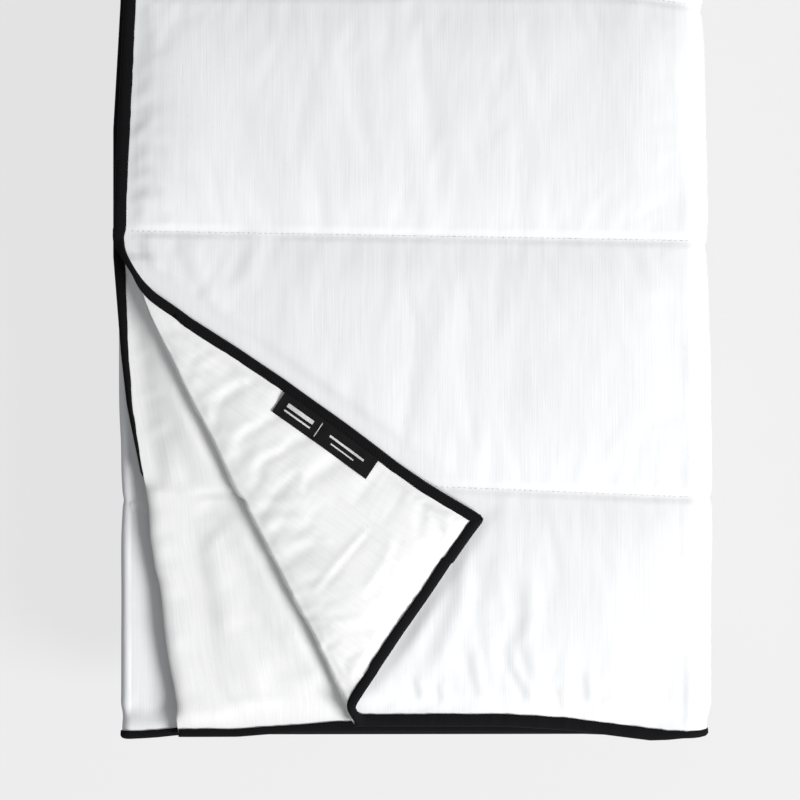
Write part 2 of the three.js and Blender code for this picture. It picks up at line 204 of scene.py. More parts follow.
CORNER_CREASES = [
    (0.5, 2, -59.8, -174.4, -42.5, -153, -25.2, -133.4),
    (0.5, 3, -126.2, -63, -108.3, -55.5, -93.3, -48.6),
    (0.4, 2.6, -134.8, -45.7, -120.4, -41.1, -108.9, -34.2),
    (0.55, 3, -95.6, -123, -81.7, -119.6, -65.6, -120.7),
    (0.5, 3, -89.8, -135.7, -74.2, -129.4, -56.9, -131.1),
    (0.4, 3, -84, -148.4, -65.6, -141.5, -45.4, -143.2),
    (0.35, 3, -74.8, -165.7, -56.9, -160, -43.7, -161.1),
    (0.35, 2.4, -65.6, -184.2, -51.2, -177.3), (0.35, 2.4, -55.2, -203.2, -42.5, -195.7),
    (0.4, 3, -97.3, -102.3, -87.5, -91.9, -71.4, -87.3),
    (0.4, 3, -110.6, -85, -96.7, -76.9, -87.5, -75.7),
    (0.35, 3, -31, -177.3, -16.5, -154.2, -10.8, -136.9),
]


def crease(x, y, creases):
    """Rounded ridges with a soft valley on one side, fading out at their ends."""
    total = np.zeros(np.broadcast(x, y).shape)
    for height, width, *flat in creases:
        points = np.reshape(flat, (-1, 2))
        steps = np.diff(points, axis=0)
        lengths = np.linalg.norm(steps, axis=1)
        passed = np.concatenate([[0], np.cumsum(lengths)])
        nearest = np.full(total.shape, 1e9)
        along, side = np.zeros(total.shape), np.zeros(total.shape)
        for point, step, length, before in zip(points, steps, lengths, passed):
            way_x, way_y = step / length
            off_x, off_y = x - point[0], y - point[1]
            reach = np.clip(off_x * way_x + off_y * way_y, 0, length)
            distance = np.hypot(off_x - reach * way_x, off_y - reach * way_y)
            closer = distance < nearest
            nearest = np.where(closer, distance, nearest)
            along = np.where(closer, (before + reach) / passed[-1], along)
            side = np.where(closer, off_x * way_y - off_y * way_x, side)
        fade = np.clip(4 * along * (1 - along) * 1.5, 0, 1)
        valley = 0.6 * bump(side - 1.7 * width, width) * (nearest < 4 * width)
        total += height * fade * (bump(nearest, width) - valley)
    return total


# ------------------------------------------------------------------ meshes
def mesh_object(name, points, faces, uv=None, materials=()):
    """A smooth-shaded object from points and UVs in mm."""
    mesh = bpy.data.meshes.new(name)
    mesh.from_pydata((np.asarray(points) / 1000.0).tolist(), [],
                     [tuple(map(int, face)) for face in faces])
    mesh.update()
    if uv is not None:
        layer = mesh.uv_layers.new(name="cloth")
        index = np.zeros(len(mesh.loops), np.int32)
        mesh.loops.foreach_get("vertex_index", index)
        layer.data.foreach_set("uv", (np.asarray(uv)[index] / 1000.0).astype(np.float32).ravel())
    mesh.polygons.foreach_set("use_smooth", [True] * len(mesh.polygons))
    for material in materials:
        mesh.materials.append(material)
    obj = bpy.data.objects.new(name, mesh)
    bpy.context.scene.collection.objects.link(obj)
    return obj


def outward(obj):
    """Turns all faces of a closed mesh outwards."""
    edit = bmesh.new()
    edit.from_mesh(obj.data)
    bmesh.ops.recalc_face_normals(edit, faces=edit.faces)
    if edit.calc_volume(signed=True) < 0:
        bmesh.ops.reverse_faces(edit, faces=edit.faces)
    edit.to_mesh(obj.data)
    edit.free()
    return obj


def grid_faces(index):
    corners = [index[:-1, :-1], index[:-1, 1:], index[1:, 1:], index[1:, :-1]]
    return np.stack(corners, -1).reshape(-1, 4)


def tube_faces(rings, sides):
    """Walls and two caps of a tube whose points are numbered ring by ring."""
    index = np.arange(rings * sides).reshape(rings, sides)
    turned = np.roll(index, -1, 1)
    walls = np.stack([index[:-1], turned[:-1], turned[1:], index[1:]], -1).reshape(-1, 4)
    return walls.tolist() + [index[0][::-1].tolist(), index[-1].tolist()]


def sandwich(name, upper, lower, uv, materials):
    """A closed sheet from two grids of points. The materials are the upper side's, the lower's."""
    rows, cols, _ = upper.shape
    count = rows * cols
    index = np.arange(count).reshape(rows, cols)
    top = grid_faces(index)
    ring = np.concatenate([index[0, :], index[1:, -1], index[-1, -2::-1], index[-2:0:-1, 0]])
    after = np.roll(ring, -1)
    side = np.stack([after, ring, ring + count, after + count], -1)
    faces = np.concatenate([top, top[:, [0, 3, 2, 1]] + count, side])
    points = np.concatenate([upper.reshape(-1, 3), lower.reshape(-1, 3)])
    obj = mesh_object(name, points, faces, np.concatenate([uv.reshape(-1, 2)] * 2), materials)
    if len(materials) > 1:
        which = np.zeros(len(faces), np.int32)
        which[len(top):2 * len(top)] = 1
        obj.data.polygons.foreach_set("material_index", which)
    outward(obj)
    # the rims of both sides are sharp
    pairs = np.zeros(len(obj.data.edges) * 2, np.int32)
    obj.data.edges.foreach_get("vertices", pairs)
    pairs = pairs.reshape(-1, 2)
    on_rim = np.zeros(count * 2, bool)
    on_rim[ring] = on_rim[ring + count] = True
    sharp = on_rim[pairs].all(1) & (np.abs(pairs[:, 0] - pairs[:, 1]) != count)
    known = obj.data.attributes
    marks = known.get("sharp_edge") or known.new("sharp_edge", "BOOLEAN", "EDGE")
    marks.data.foreach_set("value", sharp)
    return obj


def tape_along(name, centre, out, up, half, travel, width_up, width_down):
    """A tape folded over an edge. out points away from the cloth, travel is distance along."""
    uneven = 0.16 * noise(travel / 4.3, seed=78) + 0.16 * noise(travel / 17, seed=79)
    above, below = width_up + uneven, width_down + uneven
    # distance outwards and height of each point round the tape; the last two are its inside
    profile = [
        (-above, half - 0.45), (-above, half + 0.25), (-above + 1.0, half + 0.45),
        (-above * 0.5, half + 0.5), (-1.6, half + 0.3), (-0.5, half * 0.72), (0, 0),
        (-0.5, -half * 0.72), (-1.6, -half - 0.3), (-below * 0.5, -half - 0.4),
        (-below + 1.0, -half - 0.35), (-below, -half - 0.2), (-below, -half + 0.45),
        (-1.4, -0.2), (-1.4, 0.2),
    ]
    outs = np.stack([distance + 0 * uneven for distance, _ in profile], 1)
    heights = np.array([height for _, height in profile])
    ripple = 1 + 0.4 * 0.22 * noise(travel / 3, seed=77)
    up = np.broadcast_to(up, centre.shape)
    points = (centre[:, None] + out * outs[..., None]
              + up[:, None] * (heights * ripple[:, None])[..., None])
    girth = np.concatenate([[0], np.cumsum(np.hypot(np.diff(outs[0]), np.diff(heights)))])
    uv = np.stack(np.broadcast_arrays(travel[:, None], girth), -1).reshape(-1, 2)
    return outward(mesh_object(name, points.reshape(-1, 3), tube_faces(*outs.shape), uv, [TWILL]))


def stitches(name, start, end, normal):
    """Stitches from start to end, each a short bead sunk in its hole at both ends."""
    radius, sides = 0.21, 6
    # place along the stitch, share of the radius, rise in diameters
    stations_along = [(-0.5, 0.25, -0.35), (-0.34, 0.85, 0.0), (0, 1.0, 0.12), (0.34, 0.85, 0.0),
                      (0.5, 0.25, -0.35)]
    middle, way = (start + end) / 2, end - start
    length = np.linalg.norm(way, axis=1, keepdims=True)
    way = way / np.maximum(length, 1e-9)
    side = np.cross(normal, way)
    side /= np.maximum(np.linalg.norm(side, axis=1, keepdims=True), 1e-9)
    points = []
    for place, share, rise in stations_along:
        centre = middle + way * length * place + normal * rise * radius * 2
        for i in range(sides):
            angle = i * math.pi / 3
            spoke = side * math.cos(angle) + normal * math.sin(angle)
            points.append(centre + spoke * radius * share)
    size = len(points)
    points = np.stack(points, 1).reshape(-1, 3)
    bead = tube_faces(len(stations_along), sides)
    faces = [[v + i * size for v in face] for i in range(len(start)) for face in bead]
    return mesh_object(name, points, faces, points[:, :2], [THREAD])


def attach(obj, carrier, slot, *replaced):
    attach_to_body(obj, carrier)
    if replaced:
        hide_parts(*replaced)


# ------------------------------------------------------------------ cloth simulation
def bilinear(field, xs, ys):
    """A function that reads a grid's values between its points, and holds them outside."""
    def at(x, y):
        col = np.clip((x - xs[0]) / (xs[-1] - xs[0]) * (len(xs) - 1), 0, len(xs) - 1.001)
        row = np.clip((y - ys[0]) / (ys[-1] - ys[0]) * (len(ys) - 1), 0, len(ys) - 1.001)
        i, j = col.astype(int), row.astype(int)
        right, up = col - i, row - j
        low = field[j, i] * (1 - right) + field[j, i + 1] * right
        high = field[j + 1, i] * (1 - right) + field[j + 1, i + 1] * right
        return low * (1 - up) + high * up

    return at


def simulate(name, x, y, pinned, seed, cap, pressure=1.6, grow=0.012):
    """Lets a flat patch swell between its pinned points. Gives its rise in mm at any x, y."""
    # small cells make the cloth stiff in the solver, so the patch is simulated enlarged
    scale, frames = 4, 20
    start_z = 0.35 * noise(x / 17, y / 13, seed=seed) + 0.25 * noise(x / 6, y / 9, seed=seed + 1)
    start_z[pinned] = 0
    points = np.stack([x, y, start_z], -1)
    index = np.arange(x.size).reshape(x.shape)
    obj = mesh_object(name, points.reshape(-1, 3), grid_faces(index))
    obj.data.transform(mathutils.Matrix.Scale(scale, 4))
    group = obj.vertex_groups.new(name="pin")
    group.add([int(i) for i in index[pinned]], 1.0, "REPLACE")
    cloth = obj.modifiers.new("cloth", "CLOTH")
    settings = cloth.settings
    settings.quality = 5
    settings.mass = 0.2
    settings.tension_stiffness = settings.compression_stiffness = 12
    settings.shear_stiffness = 6
    settings.bending_stiffness = 0.35
    settings.vertex_group_mass = "pin"
    settings.use_pressure = True
    settings.uniform_pressure_force = pressure
    settings.shrink_min = settings.shrink_max = -grow
    settings.effector_weights.gravity = 0
    cloth.collision_settings.use_collision = False
    cloth.collision_settings.use_self_collision = False
    cloth.point_cache.frame_start, cloth.point_cache.frame_end = 1, frames
    for frame in range(1, frames + 1):
        bpy.context.scene.frame_set(frame)
    settled = obj.evaluated_get(bpy.context.evaluated_depsgraph_get()).to_mesh()
    places = np.zeros(len(settled.vertices) * 3, np.float32)
    settled.vertices.foreach_get("co", places)
    moved = places.reshape(points.shape) * (1000.0 / scale) - points
    moved[..., 2] += start_z
    bpy.context.scene.frame_set(1)
    mesh = obj.data
    bpy.data.objects.remove(obj)
    bpy.data.meshes.remove(mesh)
    # the swelling is halved, then capped
    moved = moved * 0.5
    size = np.linalg.norm(moved, axis=-1)
    return bilinear(moved[..., 2] * np.minimum(1, cap / np.maximum(size, 1e-9)), x[0], y[:, 0])


def near(values, targets):
    return np.min(np.abs(values[..., None] - np.array(targets)), -1) < STEP * 0.6


# ------------------------------------------------------------------ materials
def new_material(name):
    material = bpy.data.materials.new(name)
    material.use_nodes = True
    return material, material.node_tree, material.node_tree.nodes["Principled BSDF"]


def feed(tree, inputs, values):
    """Links inputs to the outputs given for them, or sets their values."""
    for key, value in values.items():
        if isinstance(value, bpy.types.NodeSocket):
            tree.links.new(value, inputs[key])
        else:
            inputs[key].default_value = value


def add_node(tree, kind, values, output=0, **settings):
    node = tree.nodes.new("ShaderNode" + kind)
    for key, value in settings.items():
        setattr(node, key, value)
    feed(tree, node.inputs, values)
    return node.outputs[output]


def combine(tree, operation, first, second):
    return add_node(tree, "Math", {0: first, 1: second}, operation=operation)


def cloth_uv(tree):
    return add_node(tree, "UVMap", {}, uv_map="cloth")


def stretched_noise(tree, uv, stretch, scale, detail):
    place = add_node(tree, "Mapping", {"Scale": (*stretch, 1), "Vector": uv})
    values = {"Scale": scale, "Detail": detail, "Vector": place}
    return add_node(tree, "TexNoise", values, output="Fac")


def relief(tree, bsdf, height, strength, distance):
    values = {"Strength": strength, "Distance": distance, "Height": height}
    feed(tree, bsdf.inputs, {"Normal": add_node(tree, "Bump", values)})


def shaded_colour(tree, bsdf, colour, shade, shade_range, brightness):
    """Multiplies a colour by a brightness that follows shade over its range."""
    factor = add_node(tree, "MapRange", {
        "From Min": shade_range[0], "From Max": shade_range[1],
        "To Min": brightness[0], "To Max": brightness[1], "Value": shade})
    mixed = add_node(tree, "MixRGB", {0: 1, 1: (*colour, 1), 2: factor}, blend_type="MULTIPLY")
    feed(tree, bsdf.inputs, {"Base Color": mixed})


def fabric(name, colour, cross):
    """Slub-ribbed cloth: uneven ribs along the blanket, crossed by threads of strength cross."""
    material, tree, bsdf = new_material(name)
    uv = cloth_uv(tree)
    ribs = stretched_noise(tree, uv, stretch=(1, 0.02), scale=1150, detail=2)
    slub = stretched_noise(tree, uv, stretch=(1, 0.09), scale=420, detail=3)
    weft = stretched_noise(tree, uv, stretch=(0.06, 1), scale=900, detail=2)
    blotch = stretched_noise(tree, uv, stretch=(1, 1), scale=9, detail=3)

    def share(source, amount):
        return combine(tree, "MULTIPLY", source, amount)

    height = combine(tree, "ADD", share(ribs, 0.6), share(slub, 0.3))
    height = combine(tree, "ADD", height, share(weft, cross))
    relief(tree, bsdf, height, strength=0.42, distance=0.00035)
    shade = combine(tree, "ADD", share(slub, 0.5),
                    combine(tree, "ADD", share(ribs, 0.38), share(blotch, 0.12)))
    shaded_colour(tree, bsdf, colour, shade, shade_range=(0.25, 0.75), brightness=(0.93, 1.03))
    feed(tree, bsdf.inputs, {"Roughness": 0.86, "Sheen Weight": 0.12, "Sheen Roughness": 0.5,
                             "Specular IOR Level": 0.25})
    return material


def twill(name, colour, scale=1400):
    """Fine diagonal ribs with a slight dusting. scale is ribs per metre, times 2 pi."""
    material, tree, bsdf = new_material(name)
    uv = cloth_uv(tree)
    turned = add_node(tree, "Mapping", {"Rotation": (0, 0, math.radians(45)), "Vector": uv})
    values = {"Scale": scale / 6.28, "Distortion": 1.2, "Vector": turned}
    ribs = add_node(tree, "TexWave", values, output="Fac")
    fuzz = stretched_noise(tree, uv, stretch=(1, 1), scale=1500, detail=3)
    height = combine(tree, "ADD", ribs, combine(tree, "MULTIPLY", fuzz, 0.7))
    relief(tree, bsdf, height, strength=0.5, distance=0.0003)
    shaded_colour(tree, bsdf, colour, fuzz, shade_range=(0, 1), brightness=(0.6, 1.7))
    feed(tree, bsdf.inputs, {"Roughness": 0.8, "Sheen Weight": 0.02, "Specular IOR Level": 0.12})
    return material


FACE = fabric("face_cloth", (0.93, 0.935, 0.94), cross=0.12)
BACK = fabric("back_cloth", (0.935, 0.935, 0.93), cross=0.42)
TWILL = twill("binding_tape", (0.0042, 0.0038, 0.0046))
LABEL = twill("label_weave", (0.008, 0.0075, 0.0075), scale=2600)
THREAD = twill("sewing_thread", (0.7, 0.71, 0.74), scale=5000)
MARK = twill("label_marks", (0.62, 0.62, 0.62), scale=3000)

# ------------------------------------------------------------------ simulated patches
grid_x, grid_y = np.meshgrid(np.arange(-171, 172, STEP), np.arange(0, 482, STEP))
pins = near(grid_y, QUILT["top"]) | (grid_x < EDGE_X + TAPE + 2) | (grid_x > 160)
pins |= (grid_y < TAPE + 3) | (grid_y > 476)
pins |= from_corner(grid_x - EDGE_X, grid_y) < CUT_RUN + 1
leaf1_swell = simulate("sim_top", grid_x, grid_y, pins, seed=11, cap=7)
pins = near(grid_y, [QUILT["top"][0] - 11]) | (grid_x < -158) | (grid_x > 0)
pins |= (grid_y < TAPE + 3) | (grid_y > 300)
leaf2_swell = simulate("sim_under", grid_x, grid_y, pins, seed=31, cap=4, pressure=1.4, grow=0.02)
grid_x, grid_y = np.meshgrid(np.arange(0, 150, STEP), np.arange(0, 270, STEP))
pins = (grid_x < TAPE + 1) | (grid_y < TAPE + 1) | (from_corner(grid_x, grid_y) > CUT_CORNER)
corner_swell = simulate("sim_corner", grid_x, grid_y, pins, seed=57, cap=3.5, pressure=1.3,
                        grow=0.02)

# ------------------------------------------------------------------ the folded cross-section
# Parts in order along the cloth: 1, 4, 3, 2 are leaves, o, f, i the outer right, left and
# inner right bends. With leaf 1 up they lie 1, 2, 3, 4 from the top.
PARTS = "1o4f3i2"
BENDS = {"o": "14", "f": "43", "i": "32"}  # the leaves each bend joins
LENGTH = dict.fromkeys("1432", FOLD_RIGHT_X - FOLD_LEFT_X)
LENGTH.update(o=math.pi * 1.5 * LEAF, f=math.pi * 0.5 * LEAF, i=math.pi * 0.5 * LEAF)


def columns(fine):
    """The part of each column, and how far along that part it lies, 0 to 1."""
    counts = {"1": fine, "o": 14, "4": 14, "f": 10, "3": max(20, fine // 2), "i": 10,
              "2": max(24, fine // 2)}
    parts, along = [], []
    for part in PARTS:
        share = np.arange(counts[part] + (part == "2")) / counts[part]
        if part == "3":
            share = share**1.7
        if part == "2":
            share = 1 - (1 - share) ** 1.7
        parts += [part] * len(share)
        along += list(share)
    return np.array(parts), np.array(along)


def section(fine, leaf1_x, leaf2_x, right_x, left_x):
    """Middle line, normals and arc length. The four x places are arrays over the rows."""
    parts, along = columns(fine)
    x, z, normal_x, normal_z, arc = np.zeros((5, len(leaf1_x), len(parts)))
    # leaf: first x, last x, height in leaves, side its face is on
    leaves = {"1": (leaf1_x, right_x, 3.5, 1), "4": (right_x, left_x, 0.5, -1),
              "3": (left_x, right_x, 1.5, 1), "2": (right_x, leaf2_x, 2.5, -1)}
    # bend: centre x, centre height and radius in leaves, first and last angle, side of its face
    bends = {"o": (right_x, 2, 1.5, 90, -90, 1), "f": (left_x, 1, 0.5, 270, 90, 1),
             "i": (right_x, 2, 0.5, -90, 90, -1)}
    passed = 0.0
    for part in PARTS:
        here = parts == part
        share = along[here]
        arc[:, here] = passed + share * LENGTH[part]
        passed += LENGTH[part]
        if part in leaves:
            first, last, height, side = leaves[part]
            x[:, here] = first[:, None] + share * (last - first)[:, None]
            z[:, here], normal_z[:, here] = height * LEAF, side
        else:
            centre_x, height, radius, first, last, side = bends[part]
            angle = np.radians(first + (last - first) * share)
            x[:, here] = centre_x[:, None] + radius * LEAF * np.cos(angle)
            z[:, here] = height * LEAF + radius * LEAF * np.sin(angle)
            normal_x[:, here], normal_z[:, here] = side * np.cos(angle), side * np.sin(angle)
    here = parts == "1"
    arc[:, here] = x[:, here] - EDGE_X
    return SimpleNamespace(parts=parts, along=along, leaf1_x=leaf1_x, leaf2_x=leaf2_x, x=x, z=z,
                           normal_x=normal_x, normal_z=normal_z, arc=arc)


def edge_distance(sheet):
    """Distance from the bound long edge on leaves 1 and 2, and far off elsewhere."""
    distance = np.full(sheet.x.shape, 99.0)
    for part, edge_x in (("1", sheet.leaf1_x), ("2", sheet.leaf2_x)):
        here = sheet.parts == part
        distance[:, here] = sheet.x[:, here] - edge_x[:, None]
    return distance


def fold_half(edge):
    """Half the cloth's thickness in the lengthwise folds."""
    return np.minimum(3.5, 2.1 + 1.4 * smooth((edge - TAPE + 2) / 7))


def over_parts(sheet, leaf_values):
    """Spreads values over the leaves they belong to, passing smoothly round each bend."""
    spread = np.zeros_like(sheet.x)
    share = smooth(sheet.along)
    for part in PARTS:
        before, after = BENDS.get(part, part * 2)
        here = sheet.parts == part
        mixed = leaf_values[before] * (1 - share) + leaf_values[after] * share
        spread[:, here] = mixed[:, here]
    return spread


def to_frame(run, x, y, z):
    """Run coordinates to the frame. Runs with leaf 1 down are turned over."""
    height = STRIP - z if FACING[run] < 0 else z
    return np.stack([x, y + NEAR_Y, height + RUN_Z[run]], -1)


# ------------------------------------------------------------------ runs
def stations(run, step):
    """Rows along a run, closer together beside its quilting lines."""
    start = RUN_START[run]
    rows = list(np.arange(start, FAR_FOLD, step)) + [FAR_FOLD]
    rows += [seam + off for seam in QUILT[run] for off in (-5, -2.6, -1.2, 0, 1.2, 2.6, 5)]
    rows = sorted(y for y in rows if start <= y <= FAR_FOLD)
    kept = rows[:1]
    for y in rows[1:]:
        if y - kept[-1] > 0.45 or y == FAR_FOLD:
            kept.append(y)
    return np.array(kept)


def seam_weights(y):
    """How much each of the top run's three quilting lines counts at y."""
    marks = [0, *QUILT["top"], 478]
    rises = [smooth((y - low) / (high - low)) for low, high in zip(marks, marks[1:])]
    return [rise * (1 - fall) for rise, fall in zip(rises, rises[1:])]


def leaf1_warp(x, y):
    """How far leaf 1's cloth is moved along y to set its quilting lines a little askew."""
    first, second, third = seam_weights(y)
    last_line = np.interp(x, [100, 130.6, 159.5, 167.5], [2.2, 1.4, -2.9, -8.7])
    return ((4.6 - 0.0409 * (x - 62)) * first + (7.2 - 0.0174 * (x - 15)) * second
            + last_line * third)


def seam_warp(sheet, y):
    """The same for the whole cross-section. Leaf 4 keeps its place."""
    first, second, _ = seam_weights(y)
    return over_parts(sheet, {"1": leaf1_warp(sheet.x, y), "4": np.zeros_like(y),
                              "3": -5.0 * first - 2.0 * second, "2": 2.5 * (first + second)})


def seam_pull(y, seams):
    """0 on open cloth, 1 on a quilting line, with the slope of a padded channel."""
    distance = np.min(np.abs(y[..., None] - np.array(seams)), -1)
    return 0.5 * bump(distance, 2.8) + 0.5 * bump(distance, 14)


def near_ends(sheet):
    """y of the top run's near end."""
    ends = {"1": (leaf1_end, 0.0), "4": (leaf3_end, 2.2), "3": (leaf3_end, 2.2),
            "2": (leaf2_end, 1.4)}
    return over_parts(sheet, {leaf: outline(sheet.x) - NEAR_Y - shorter
                              for leaf, (outline, shorter) in ends.items()})


def from_tip(x, y):
    """Distances of a frame place from the corner's tip, along its long edge and its end."""
    off_x, off_y = x - TIP[0], y - TIP[1]
    return (off_x * LONG_WAY[0] + off_y * LONG_WAY[1], off_x * END_WAY[0] + off_y * END_WAY[1])


def under_corner(x, y):
    """1 where the turned corner lies on the top leaf, falling to 0 just outside its edges."""
    return smooth((np.minimum(*from_tip(x, y + NEAR_Y)) + 9) / 9)


def rolled(y):
    """1 where leaf 2's edge is rolled under, at the near end, 0 where its tape shows."""
    return smooth((-108 - (y + NEAR_Y)) / 10)


def cut_x(y):
    """x at which the corner's fold cuts leaf 1."""
    return EDGE_X + (CUT_RUN - SIN_CUT * (y + leaf1_warp(EDGE_X, y))) / COS_CUT


def run_edges(run, y):
    """x of leaf 1's edge, of leaf 2's, and of the right and left bends, row by row."""
    if run == "top":
        frame_y = y + NEAR_Y
        warped_y = y + leaf1_warp(EDGE_X, y) + NEAR_Y
        leaf1_x = np.maximum(leaf1_left(frame_y) + EDGE_INSET,
                             cut_x(y) - 9 * smooth((30 - y) / 24))
        leaf1_x = np.maximum(leaf1_x, np.where(warped_y > -12, turn_left(warped_y), -999))
        wave = 0.75 * noise(y / 8.5, seed=33) + 0.5 * noise(y / 19, seed=34)
        return (leaf1_x, leaf2_left(frame_y) - 1.2 + EDGE_INSET + rolled(y) * wave,
                right_edge(frame_y) - 14.85, np.full_like(y, FOLD_LEFT_X - 1.8))
    seed = {"second": 3, "third": 5, "bottom": 7}[run]
    return (EDGE_X + EDGE_INSET + 1.2 * noise(y / 60, seed, seed=seed),
            EDGE_X + EDGE_INSET + 1.5 + 1.2 * noise(y / 50, seed, seed=seed + 1),
            FOLD_RIGHT_X + 0.8 * noise(y / 45, seed=seed + 2) - 0.6,
            FOLD_LEFT_X + 0.8 * noise(y / 40, seed=seed + 3))


def swell_leaf1(sheet):
    """Swelling, creases and soft waves of the top leaf, pressed flat under the corner."""
    x, y, here = sheet.x, sheet.y, sheet.parts == "1"
    pressed_out = 1 - under_corner(x, y) * (x < 60)
    inland = smooth((sheet.edge - 4) / 26) * smooth((166 - x) / 30)
    swell = 0.6 * (1 - 0.5 * sheet.pull) * leaf1_swell(x, y) * inland * pressed_out
    ridges = crease(x, y + NEAR_Y, LEAF1_CREASES) * sheet.free * pressed_out
    waves = 0.7 * noise(x / 48, y / 120, seed=21)
    waves += 0.3 * noise((x + 0.3 * y) / 22, y / 70, seed=22)
    waves += 0.6 * bump(y - 60, 70) * noise(x / 24, y / 90, seed=23)
    face = sheet.face + swell + ridges + waves * (1 - sheet.pull) * sheet.free * pressed_out
    face = np.where(pressed_out < 0.02, np.minimum(face, 3.55), face)
    sheet.face[:, here] = face[:, here]


def swell_leaf2(sheet):
    """Leaf 2 where the turned corner bares it."""
    x, y, here = sheet.x, sheet.y, sheet.parts == "2"
    across = from_corner(x - EDGE_X, y)
    bared = smooth((CUT_RUN + 1 - across) / 12)
    inland = smooth((sheet.edge - 5) / 30)
    slanting = 0.55 * noise((x - 0.7 * y) / 11, (y + 0.7 * x) / 60, seed=24) * bump(y - 145, 45)
    slanting += 0.6 * noise((x + 0.35 * y) / 14, y / 80, seed=25) * bump(y - 60, 50)
    back = sheet.back + bared * (
        0.7 * np.maximum(leaf2_swell(x, y), 0) * inland
        + 0.55 * slanting * smooth((sheet.edge - 5) / 12)
        + 0.8 * crease(x, y + NEAR_Y, LEAF2_CREASES))
    # nearer than the binding's visible stretch it has a full, rolled edge with small puckers
    inward = x - sheet.leaf2_x[:, None]
    full = 3.7 * np.sqrt(1 - (1 - np.clip((inward + 0.3) / 8, 0, 1)) ** 2)
    full += 0.6 * noise(y / 7.5, x / 40, seed=35) * bump(inward - 6, 7)
    full += 0.45 * noise((y + 0.5 * x) / 15, x / 30, seed=36) * bump(inward - 15, 16)
    roll = rolled(y) * smooth((y - 6) / 8) * (1 - smooth((inward - 24) / 14))
    back = back * (1 - roll) + full * roll
    # it swells a little beside the corner's fold
    by_fold = bump(across - (CUT_RUN - 6), 14) * smooth((y - 14) / 20)
    back += 2.0 * by_fold * bared * inland
    sheet.back[:, here] = back[:, here]


def sink_leaf3(sheet):
    """Leaf 3 and the left bend sink beside leaf 2's edge."""
    x, y, depth = sheet.x, sheet.y, 4.9
    away = sheet.leaf2_x[:, None] - x
    shown = smooth((sheet.leaf2_x[:, None] + 167) / 8) * smooth((y - 5) / 12)
    sink = depth + 0.5 * bump(away, 6) + 0.3 * noise(x / 9, y / 40, seed=37)
    sink *= smooth((away + 34) / 14) * shown
    bend_sink = smooth((sheet.along - 0.2) / 0.8) * depth * shown
    for part, amount in (("3", sink), ("f", bend_sink)):
        here = sheet.parts == part
        sheet.face[:, here] -= amount[:, here]


def run_sheet(run, fine, step):
    """Both sides of a run's cloth. face and back are the half thicknesses to either side."""
    top, bound = run == "top", run in BOUND
    rows = stations(run, step)
    sheet = section(fine, *run_edges(run, rows))
    x, z, arc = sheet.x, sheet.z, sheet.arc
    y = sheet.y = np.repeat(rows[:, None], len(sheet.parts), 1)
    pull = sheet.pull = seam_pull(y, QUILT[run])
    edge = edge_distance(sheet)
    joined = fold_half(edge)
    if top:  # where the fold cuts it, leaf 1 is not bound but runs into the bend
        cut = cut_x(rows) > leaf1_left(rows + NEAR_Y) + EDGE_INSET
        edge[np.ix_(cut, sheet.parts == "1")] = 99
    if bound:
        edge = np.minimum(edge, y - RUN_START[run])
    sheet.edge = edge
    free = sheet.free = smooth((edge - TAPE + 1.4) / 5)
    # drawn in at the quilting lines, pressed thin inside the bindings
    half = np.minimum(3.55 * (1 - (0.46 if top else 0.7) * pull),
                      1.7 + 2.0 * smooth((edge - TAPE + 1.8) / (15 if top else 9)))
    # puckers beside seams and bindings
    rough = 0.22 * noise(arc / 9, y / 26, seed=5) * (0.3 + bump(np.abs(pull - 0.45), 0.4))
    slant = (y - 0.8 * (x - sheet.leaf1_x[:, None])) / 6.5
    rough += 0.42 * bump(edge - TAPE - 4, 8) * noise(slant, arc / 26, seed=8)
    sheet.face = half + rough * free
    sheet.back = half + 0.15 * noise(arc / 11, y / 21, seed=9) * free
    if top:
        swell_leaf1(sheet)
        swell_leaf2(sheet)
        sink_leaf3(sheet)
    # the outer right bend stands a little proud
    here = sheet.parts == "o"
    sheet.face[:, here] += 0.5 * noise(y / 30, arc / 30, seed=14)[:, here] + 0.2
    # the cloth meets the lengthwise folds at the folds' own thickness
    joint = smooth((FAR_FOLD - y) / 13)
    if not bound:
        joint *= smooth((y - NEAR_FOLD) / 13)
    face = joined + (sheet.face - joined) * joint
    back = joined + (sheet.back - joined) * joint
    # bound near ends follow the cloth's real edge, 1.2 inside the tape
    if top:
        sheet.y = y + (near_ends(sheet) + 1.2) * (1 - smooth(y / 60)) + seam_warp(sheet, y)
    elif bound:
        sheet.y = y + 1.2 * (1 - smooth((y - RUN_START[run]) / 30))
    sheet.rows = rows
    sheet.upper = to_frame(run, x + sheet.normal_x * face, sheet.y, z + sheet.normal_z * face)
    sheet.lower = to_frame(run, x - sheet.normal_x * back, sheet.y, z - sheet.normal_z * back)
    return sheet


def quilt_line(run, sheet, number, seam):
    """Stitches along one quilting line, round the whole cross-section."""
    row = int(np.argmin(np.abs(sheet.rows - seam)))
    line = sheet.upper[row]
    normals = section_normals(run, sheet, row)
    steps = np.linalg.norm(np.diff(line, axis=0), axis=1)
    passed = np.concatenate([[0], np.cumsum(steps)])
    margin, spacing, length, clearance = 9, 3.2, 2.3, 0.02
    starts = np.arange(margin, passed[-1] - margin, spacing)

    def pick(at, field):
        return np.stack([np.interp(at, passed, field[:, i]) for i in range(3)], -1)

    normal = pick(starts + 1.1, normals)
    obj = stitches(f"{run}_stitches_{number}", pick(starts, line) + normal * clearance,
                   pick(starts + length, line) + normal * clearance, normal)
    attach(obj, run + "_run", "thread", f"{run}_quilt_thread_{number}")


def section_normals(run, sheet, row):
    normal_x, normal_z = sheet.normal_x[row], sheet.normal_z[row]
    return np.stack([normal_x, 0 * normal_x, normal_z * FACING[run]], -1)


